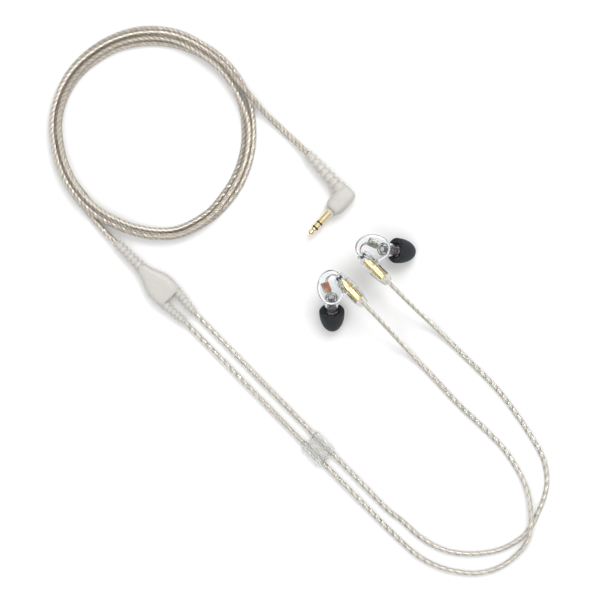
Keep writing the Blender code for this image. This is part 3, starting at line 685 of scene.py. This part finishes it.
def eased(table, position):
    """The values of a table of rows at a position, eased from each row to the next."""
    for row, after in zip(table, table[1:]):
        if position <= after[0] + 1e-9:
            break
    share = (position - row[0]) / (after[0] - row[0])
    share = share * share * (3 - 2 * share)
    return [low + (high - low) * share for low, high in zip(row[1:], after[1:])]


def coil_point(turn):
    """A point of the coil at a number of turns from its start."""
    side, layer = eased(COIL_LAY, turn)
    angle = COIL_START - 360 * turn
    first = COIL_RING[0]
    middle, half = eased(COIL_RING + [(360, first[1], first[2])], angle % 360)
    upper_half = COIL_SPACING / 2
    radius = middle + side * (half + (upper_half - half) * layer)
    lift = math.sqrt(COIL_SPACING ** 2 - min(half - upper_half * abs(side), COIL_SPACING) ** 2)
    return Vector((COIL_CENTRE[0] + radius * MM * math.cos(math.radians(angle)),
                   COIL_CENTRE[1] + radius * MM * math.sin(math.radians(angle)),
                   (COIL_FLOOR + layer * lift) * MM))


def make_trunk():
    """The trunk: from the Y-split's relief, round its coil, to the plug's relief."""
    steps = round(COIL_TURNS * COIL_STEPS_PER_TURN)
    coil = [coil_point(COIL_TURNS * step / steps) for step in range(steps + 1)]
    route = metres(SPLIT_CABLE_ROUTE) + coil + metres(PLUG_CABLE_ROUTE)
    centreline = smooth_route(route, TRUNK_SPLINE_STEP)
    jacket = tube_curve("trunk_jacket", [centreline], TRUNK_RADIUS, "jacket", 4)
    place(jacket, "cable", "cable_jacket", "trunk_cable_split_end", "trunk_cable_coil",
          "trunk_cable_plug_end")
    split_inside = [split_point(28.0 * MM, 0.0, SPLIT_HEIGHT),
                    split_point(20.0 * MM, 0.0, SPLIT_HEIGHT),
                    split_point(8.0 * MM, 0.0, SPLIT_HEIGHT)]
    plug_inside = [plug_point(-12.4 * MM, -20.0 * MM), plug_point(-11.6 * MM, -10.0 * MM),
                   plug_point(-11.0 * MM, -4.0 * MM)]
    add_strands("trunk", jacket, split_inside + route + plug_inside, TRUNK_RADIUS,
                TRUNK_STRANDS)
    return jacket, centreline


# ---------------------------------------------------------------- camera

def make_camera():
    """A camera that looks straight down on the set."""
    low, high = CAD_BOX
    centre = (low + high) / 2
    width = CAMERA_MARGIN * max(high.x - low.x, high.y - low.y)
    data = bpy.data.cameras.new("camera")
    data.lens = CAMERA_LENS
    data.sensor_width = SENSOR_WIDTH
    camera = bpy.data.objects.new("camera", data)
    bpy.context.scene.collection.objects.link(camera)
    distance = width * CAMERA_LENS / SENSOR_WIDTH
    camera.location = (centre.x + CAMERA_SHIFT[0], centre.y + CAMERA_SHIFT[1], distance)
    data.clip_start, data.clip_end = CAMERA_CLIP
    bpy.context.scene.camera = camera


# ---------------------------------------------------------------- Y-split and slider

def ribbed_profile(radii, length, ribs, depth):
    """A strain relief's profile: round-edged ribs that grow towards its body end."""
    start_radius, end_radius = radii
    low, high = RIB_GROOVE
    corners = [(0.0, length), (end_radius, length)]
    for rib in range(ribs, 0, -1):
        for part, inset in ((high, 0.0), (high, depth), (low, depth), (low, 0.0)):
            share = (rib - 1 + part) / ribs
            corners.append((start_radius + (end_radius - start_radius) * share - inset,
                            length * share))
    corners += [(start_radius, 0.0), (0.0, 0.0)]
    return rounded(corners, RIB_ROUNDING, 3)


def split_body_mesh(name):
    """The Y-split's swelling: rounded sections along the line of the legs."""
    sections = smooth_route(metres(SPLIT_SECTIONS), 0.8 * MM)
    bm = bmesh.new()
    rings = []
    for along, half_width, half_height in sections:
        ring = []
        for step in range(SPLIT_SIDES):
            angle = 2 * math.pi * step / SPLIT_SIDES
            across = math.copysign(abs(math.cos(angle)) ** SPLIT_SQUARENESS, math.cos(angle))
            up = math.copysign(abs(math.sin(angle)) ** SPLIT_SQUARENESS, math.sin(angle))
            ring.append(bm.verts.new((along, half_width * across, half_height * up)))
        rings.append(ring)
    for ring, after in zip(rings, rings[1:]):
        for step in range(SPLIT_SIDES):
            bm.faces.new((ring[step], ring[step - 1], after[step - 1], after[step]))
    bm.faces.new(rings[0])
    bm.faces.new(list(reversed(rings[-1])))
    bmesh.ops.recalc_face_normals(bm, faces=bm.faces)
    mesh = bpy.data.meshes.new(name)
    bm.to_mesh(mesh)
    bm.free()
    mesh.shade_smooth()
    mesh.set_sharp_from_angle(angle=LOFTED_SHARPNESS)
    return mesh


def make_split():
    """The Y-split with its three ribbed reliefs, which run a little way into its body."""
    heading = math.atan2(JOINTS["cinch_slide"]["axis"][1], JOINTS["cinch_slide"]["axis"][0])
    body = add_object("y_split_moulding", split_body_mesh("y_split_moulding"), "clear_rubber",
                      flat_frame((*SPLIT_START, SPLIT_HEIGHT), heading))
    place(body, "cable", "clear_rubber", "y_split_body")
    trunk = turned("trunk_relief_ribs",
                   ribbed_profile(TRUNK_RELIEF_RADII, TRUNK_RELIEF_LENGTH + RELIEF_OVERLAP, 7,
                                  0.8 * MM),
                   "clear_rubber",
                   axis_frame(split_point(0, 0, SPLIT_HEIGHT), split_point(1, 0, 0)
                              - split_point(0, 0, 0)), 40)
    place(trunk, "cable", "clear_rubber", "trunk_relief")
    for side, sign in SIDES.items():
        begin = split_point(SPLIT_BODY_END - RELIEF_OVERLAP, sign * LEG_EXIT_SPACING / 2,
                            SPLIT_HEIGHT)
        end = split_point(LEG_RELIEF_END, sign * LEG_SPACING / 2, LEG_RELIEF_HEIGHT)
        leg = turned(side + "_leg_relief_ribs",
                     ribbed_profile(LEG_RELIEF_RADII, (begin - end).length, 6, 0.65 * MM),
                     "clear_rubber", axis_frame(end, begin - end), 36)
        place(leg, "cable", "clear_rubber", side + "_leg_relief")


def make_slider():
    """The cinch slider: a rounded block with two bores and a notch at each end."""
    length, _, height = SLIDER_SIZE
    heading = math.atan2(JOINTS["cinch_slide"]["axis"][1], JOINTS["cinch_slide"]["axis"][0])
    middle = split_point(SLIDER_PLACE, 0.0, SLIDER_FLOOR + height / 2)
    slider = rounded_block("cinch_slider_moulding", SLIDER_SIZE, SLIDER_EDGE, "slider",
                           flat_frame(middle, heading))
    along = Vector(JOINTS["cinch_slide"]["axis"])
    steps = []
    for sign in (-1, 1):
        bore = turned_cutter(
            f"slider_bore_{sign}", rod(LEG_RADIUS + GAP, -length, length),
            axis_frame(split_point(SLIDER_PLACE, sign * LEG_SPACING / 2, SLIDER_LEG_HEIGHT),
                       along), 32)
        notch_place = split_point(SLIDER_PLACE + sign * (length / 2 + 0.5 * MM), 0.0,
                                  height / 2)
        notch = turned_cutter(f"slider_notch_{sign}",
                              rod(SLIDER_NOTCH_RADIUS, -height, height),
                              Matrix.Translation(notch_place), 48)
        steps += [("DIFFERENCE", bore), ("DIFFERENCE", notch)]
    combine(slider, *steps)
    place(slider, "slider", "clear_rubber", "cinch_slider")


# ---------------------------------------------------------------- plug

def make_plug():
    """The right-angle plug. Returns its pieces, which ride on the trunk's end."""
    base = flat_frame(PLUG_FACE, PLUG_HEADING)
    axis = axis_frame(PLUG_FACE, base.col[0].xyz)
    length = PLUG_BODY_SIZE[0]
    body = rounded_block("plug_moulding", PLUG_BODY_SIZE, PLUG_EDGE, "clear_rubber",
                         base @ Matrix.Translation((-length / 2, 0, 0)), 6)
    start = plug_point(*PLUG_RELIEF_START)
    end = plug_point(*PLUG_RELIEF_END)
    relief_frame = axis_frame(start, end - start)
    run = (end - start).length
    relief = turned("plug_relief_ribs",
                    ribbed_profile(PLUG_RELIEF_RADII, run + RELIEF_OVERLAP, 7, 0.85 * MM),
                    "clear_rubber", relief_frame, 40)
    boss = turned_cutter("plug_boss",
                         rounded(rod(PLUG_BOSS_RADIUS, run + GAP, run + 4 * MM), 0.5 * MM),
                         relief_frame)
    bore = turned_cutter("plug_bore", rod(JACK_RADIUS + GAP, -6.3 * MM, MM), axis)
    combine(body, ("UNION", boss), ("DIFFERENCE", bore))
    place(body, "cable", "clear_rubber", "plug_body")
    place(relief, "cable", "clear_rubber", "plug_relief")
    return [body, relief] + make_jack(axis)


def make_jack(axis):
    """The jack's collar and contacts, from the body's face to the tip."""
    made = []
    for name, material, slot, outer, inner, low, high, node in (
            ("jack_collar_moulding", "clear_rubber", "clear_rubber", 3.1 * MM,
             JACK_RADIUS + GAP, GAP, 1.2 * MM, "plug_collar"),
            ("jack_sleeve_gold", "gold", "gold", JACK_RADIUS, JACK_BORE, -6.0 * MM, 8.0 * MM,
             "jack_sleeve_contact"),
            ("jack_rear_ring_black", "black_plastic", "black_plastic", 1.7 * MM, JACK_BORE,
             8.02 * MM, 8.78 * MM, "jack_rear_insulator"),
            ("jack_ring_gold", "gold", "gold", JACK_RADIUS, JACK_BORE, 8.8 * MM, 11.05 * MM,
             "jack_ring_contact"),
            ("jack_front_ring_black", "black_plastic", "black_plastic", 1.7 * MM, JACK_BORE,
             11.07 * MM, 11.83 * MM, "jack_front_insulator")):
        piece = turned(name, loop_rounded(tube(outer, inner, low, high), 0.12 * MM), material,
                       axis, 64, True)
        made.append(place(piece, "cable", slot, node))
    piece = turned("jack_tip_gold", rounded(outline(JACK_TIP_OUTLINE), 0.3 * MM), "gold", axis)
    made.append(place(piece, "cable", "gold", "jack_tip_contact"))
    return made


# ---------------------------------------------------------------- earphones

def pebble():
    """The housing's outer form: a long sphere, swelled a little towards a box."""
    bm = bmesh.new()
    bmesh.ops.create_uvsphere(bm, u_segments=96, v_segments=64, radius=1.0)
    length, width, height = HOUSING_HALF
    for vert in bm.verts:
        flat = math.hypot(vert.co.x, vert.co.y)
        swell = max(flat, 1e-6) ** (HOUSING_SQUARENESS - 1)
        rise = math.copysign(abs(vert.co.z) ** HOUSING_SQUARENESS, vert.co.z)
        vert.co = (vert.co.x * swell * length, vert.co.y * swell * width, rise * height)
    return bm


def half_shell(name, upper, material, matrix):
    """One half of the housing, cut at the parting line and given its wall."""
    bm = pebble()
    level = PARTING_HEIGHT + (GAP / 2 if upper else -GAP / 2)
    bmesh.ops.bisect_plane(
        bm, geom=bm.verts[:] + bm.edges[:] + bm.faces[:], plane_co=(0.0, 0.0, level),
        plane_no=(0.0, 0.0, 1.0), clear_inner=upper, clear_outer=not upper)
    mesh = bpy.data.meshes.new(name)
    bm.to_mesh(mesh)
    bm.free()
    shell = add_object(name, mesh, material, matrix)
    solidify = shell.modifiers.new("wall", "SOLIDIFY")
    solidify.thickness = SHELL_WALL
    solidify.offset = -1.0
    return shell


def collar_corners(extra, back, front):
    """The outline of the connector's collar, grown by a margin."""
    radius, waist, rear = COLLAR_RADIUS + extra, COLLAR_WAIST + extra, COLLAR_REAR + extra
    return [(0.0, front), (radius, front), (radius, -4.7 * MM - extra),
            (waist, -5.3 * MM - extra), (waist, -7.7 * MM), (rear, back), (0.0, back)]


def earphone_frames(side):
    """The connector's, the housing's and the nozzle's frames."""
    turn = SIDES[side]
    swivel = JOINTS[side + "_swivel"]
    along = Vector(swivel["axis"])
    across = turn * Vector((-along.y, along.x, 0.0))
    centre = Vector(swivel["pos_m"]) - HOUSING_BACK * along + HOUSING_ASIDE * across
    nozzle_axis = Vector(JOINTS[side + "_sleeve_pull"]["axis"])
    heading = math.atan2(nozzle_axis.y, nozzle_axis.x)
    return (axis_frame(swivel["pos_m"], along), flat_frame(centre, heading),
            axis_frame(centre, nozzle_axis))


def make_shells(side, connector, housing, nozzle):
    """The two half shells, the inner one with the connector's collar and nozzle's boss."""
    outer = half_shell(side + "_outer_half_shell", True, "clear_shell", housing)
    inner = half_shell(side + "_inner_half_shell", False, "clear_collar", housing)
    room = turned_cutter(side + "_collar_room", collar_corners(GAP, -9.7 * MM, 2 * MM),
                         connector)
    collar = turned_cutter(side + "_collar",
                           rounded(collar_corners(0.0, -9.4 * MM, -0.15 * MM), 0.4 * MM),
                           connector)
    boss = turned_cutter(side + "_boss", rounded(outline(NECK_OUTLINE), 0.25 * MM), nozzle)
    socket_room = turned_cutter(side + "_socket_room", outline(SOCKET_ROOM_OUTLINE), connector)
    nozzle_room = turned_cutter(side + "_nozzle_room",
                                rod(NOZZLE_RADIUS + GAP, NOZZLE_START - 2 * MM, 16 * MM),
                                nozzle)
    combine(outer, ("DIFFERENCE", room))
    combine(inner, ("UNION", collar), ("UNION", boss), ("DIFFERENCE", socket_room),
            ("DIFFERENCE", nozzle_room))
    place(outer, side + "_earphone", "clear_shell", side + "_outer_shell")
    place(inner, side + "_earphone", "clear_shell", side + "_inner_shell")


def make_nozzle(side, nozzle):
    """The nozzle's tube, with the damper's screen in the recess at its tip."""
    recess = NOZZLE_RADIUS - 0.4 * MM
    profile = [(NOZZLE_RADIUS, NOZZLE_END), (NOZZLE_RADIUS, NOZZLE_START),
               (NOZZLE_BORE, NOZZLE_START), (NOZZLE_BORE, NOZZLE_END - 1.6 * MM),
               (recess, NOZZLE_END - 1.6 * MM), (recess, NOZZLE_END)]
    piece = turned(side + "_nozzle_smoked_tube", loop_rounded(profile, 0.15 * MM), "nozzle",
                   nozzle, 48, True)
    place(piece, side + "_earphone", "nozzle_plastic", side + "_nozzle_tube")
    mesh = turned(side + "_damper_screen",
                  rounded(rod(recess - GAP, NOZZLE_END - 1.3 * MM, NOZZLE_END - GAP), 0.1 * MM),
                  "mesh", nozzle, 32)
    place(mesh, side + "_earphone", "damper_mesh", side + "_acoustic_damper")


def make_sleeve(side, nozzle):
    """The foam sleeve, hollow at the back round the nozzle, and its firm core tube."""
    core_outer = NOZZLE_RADIUS + GAP + CORE_WALL
    core = turned(side + "_sleeve_core_tube",
                  loop_rounded(tube(core_outer, NOZZLE_RADIUS + GAP, CORE_START, CORE_END),
                               0.15 * MM), "black_plastic", nozzle, 48, True)
    place(core, side + "_sleeve", "black_plastic", side + "_sleeve_core")
    profile = []
    for step in range(DOME_STEPS + 1):
        angle = DOME_SWEEP * (1 - step / DOME_STEPS)
        profile.append((SLEEVE_RADIUS * math.cos(angle),
                        DOME_CENTRE + DOME_LENGTH * math.sin(angle)))
    tip = profile[0][1]
    bore = core_outer + GAP
    profile += rounded([profile[-1]] + outline(SLEEVE_REAR) + [(bore, SLEEVE_BORE_START)],
                       0.2 * MM)[1:]
    profile += [(bore, CORE_END + GAP), (SLEEVE_OPENING, CORE_END + GAP),
                (SLEEVE_OPENING, tip)]
    foam = turned(side + "_foam_sleeve", profile, "foam", nozzle, 72, True)
    place(foam, side + "_sleeve", "black_foam", side + "_sleeve_foam")


def make_drivers(side, housing):
    """The drivers and the flex board inside a housing, and the wires that feed them."""
    turn = SIDES[side]
    for name, material, slot, size, spot, angle, edge, node in INNER_BLOCKS:
        matrix = (housing @ Matrix.Translation((spot[0] * MM, turn * spot[1] * MM, spot[2] * MM))
                  @ Matrix.Rotation(turn * math.radians(angle), 4, "Z"))
        if material == "board":
            material = BOARD_MATERIALS[side]
        piece = rounded_block(f"{side}_{name}", [length * MM for length in size], edge * MM,
                              material, matrix, 3)
        place(piece, side + "_earphone", slot, f"{side}_{node}")
    for name, material, points in INNER_WIRES:
        route = [housing @ Vector((x * MM, turn * y * MM, z * MM)) for x, y, z in points]
        wire = tube_curve(f"{side}_{name}_enamelled", [smooth_route(route, 0.3 * MM)],
                          WIRE_RADIUS, material, 3)
        place(wire, side + "_earphone", material, f"{side}_{name}")


def make_socket(side, connector):
    """The housing's half of the connector: gold barrel, insulator and centre contact."""
    socket = turned(side + "_socket_gold",
                    loop_rounded(tube(2.45 * MM, 2.2 * MM, -5.6 * MM, -GAP), 0.1 * MM), "gold",
                    connector, 64, True)
    place(socket, side + "_earphone", "gold", side + "_socket")
    flange = turned(side + "_socket_white_flange",
                    loop_rounded(tube(2.2 * MM, NOSE_BORE, -6.9 * MM, -5.9 * MM), 0.1 * MM),
                    "white_plastic", connector, 48, True)
    place(flange, side + "_earphone", "white_plastic", side + "_socket_insulator")
    insulator = turned(side + "_socket_black_insulator",
                       loop_rounded(tube(1.6 * MM, NOSE_BORE, -8.4 * MM, -7.0 * MM), 0.1 * MM),
                       "black_plastic", connector, 48, True)
    place(insulator, side + "_earphone", "black_plastic")
    contact = turned(side + "_socket_gold_contact",
                     loop_rounded(tube(1.05 * MM, 0.7 * MM, -8.1 * MM, -3.4 * MM), 0.08 * MM),
                     "gold", connector, 40, True)
    place(contact, side + "_earphone", "gold", side + "_socket_contact")


def make_cable_connector(side, connector):
    """The cable's half of the connector, with its retaining ring and clear boot."""
    corners = [(BARREL_RADIUS, BARREL_END), (BARREL_RADIUS, BARREL_SEAT),
               (NOSE_RADIUS, BARREL_SEAT), (NOSE_RADIUS, RING_PLACE + GROOVE_HALF),
               (GROOVE_RADIUS, RING_PLACE + GROOVE_HALF),
               (GROOVE_RADIUS, RING_PLACE - GROOVE_HALF),
               (NOSE_RADIUS, RING_PLACE - GROOVE_HALF), (NOSE_RADIUS, NOSE_END),
               (NOSE_BORE, NOSE_END), (NOSE_BORE, BARREL_END)]
    barrel = turned(side + "_barrel_gold", loop_rounded(corners, 0.15 * MM), "gold", connector,
                    64, True)
    place(barrel, "cable", "gold", side + "_plug_barrel")
    insulator = turned(side + "_barrel_white_insulator",
                       loop_rounded(tube(1.05 * MM, 0.7 * MM, 0.5 * MM, 5.5 * MM), 0.1 * MM),
                       "white_plastic", connector, 40, True)
    place(insulator, "cable", "white_plastic", side + "_plug_insulator")
    pin = turned(side + "_pin_gold", rounded(rod(0.4 * MM, -5.2 * MM, 6.0 * MM), 0.2 * MM),
                 "gold", connector, 32)
    place(pin, "cable", "gold", side + "_plug_pin")
    ring = []
    for step in range(49):
        angle = math.radians(15 + 330 * step / 48)
        ring.append(connector @ Vector((RING_RADIUS * math.cos(angle),
                                        RING_RADIUS * math.sin(angle), RING_PLACE)))
    snap = tube_curve(side + "_ring_gold", [ring], RING_WIRE_RADIUS, "gold", 3)
    place(snap, side + "_retaining_ring", "gold", side + "_snap_ring")
    boot = turned(side + "_boot_moulding", rounded(outline(BOOT_OUTLINE), 0.5 * MM),
                  "clear_boot", connector)
    room = turned_cutter(side + "_barrel_room",
                         rod(BARREL_RADIUS + GAP, -MM, BARREL_END + GAP), connector)
    combine(boot, ("DIFFERENCE", room))
    place(boot, "cable", "clear_rubber", side + "_connector_boot")


def make_earphone(side):
    connector, housing, nozzle = earphone_frames(side)
    make_shells(side, connector, housing, nozzle)
    make_nozzle(side, nozzle)
    make_sleeve(side, nozzle)
    make_drivers(side, housing)
    make_socket(side, connector)
    make_cable_connector(side, connector)


# ---------------------------------------------------------------- stage

def make_sky():
    """A studio that is bright overhead and dim at its sides, for edges on clear parts."""
    world = bpy.data.worlds.new("studio")
    bpy.context.scene.world = world
    world.use_nodes = True
    nodes, links = world.node_tree.nodes, world.node_tree.links
    coordinates = nodes.new("ShaderNodeTexCoord")
    split = nodes.new("ShaderNodeSeparateXYZ")
    ramp = nodes.new("ShaderNodeValToRGB")
    for position, grey in SKY_GREYS:
        element = ramp.color_ramp.elements.new(position)
        element.color = (grey, grey, grey, 1.0)
    links.new(coordinates.outputs["Generated"], split.inputs["Vector"])
    links.new(split.outputs["Z"], ramp.inputs["Fac"])
    links.new(ramp.outputs["Color"], nodes["Background"].inputs["Color"])


def make_stage():
    """The pale table, the sky and two soft lights."""
    bm = bmesh.new()
    bmesh.ops.create_grid(bm, x_segments=1, y_segments=1, size=FLOOR_HALF)
    mesh = bpy.data.meshes.new("floor")
    bm.to_mesh(mesh)
    bm.free()
    floor = add_object("floor", mesh, "floor")
    make_sky()
    for name, power, size, location in LIGHTS:
        data = bpy.data.lights.new(name, "AREA")
        data.energy = power
        data.size = size
        light = bpy.data.objects.new(name, data)
        light.location = location
        direction = Vector(LIGHT_AIM) - Vector(location)
        light.rotation_euler = direction.to_track_quat("-Z", "Y").to_euler()
        bpy.context.scene.collection.objects.link(light)
    bpy.context.scene.view_settings.view_transform = "Standard"
    bpy.context.scene.cycles.max_bounces = LIGHT_BOUNCES
    bpy.context.scene.cycles.transmission_bounces = LIGHT_BOUNCES


def main():
    make_camera()
    make_leg("left", LEFT_ROUTE)
    make_leg("right", RIGHT_ROUTE)
    trunk, trunk_line = make_trunk()
    make_split()
    make_slider()
    plug_pieces = make_plug()
    for side in SIDES:
        make_earphone(side)
    make_stage()


main()
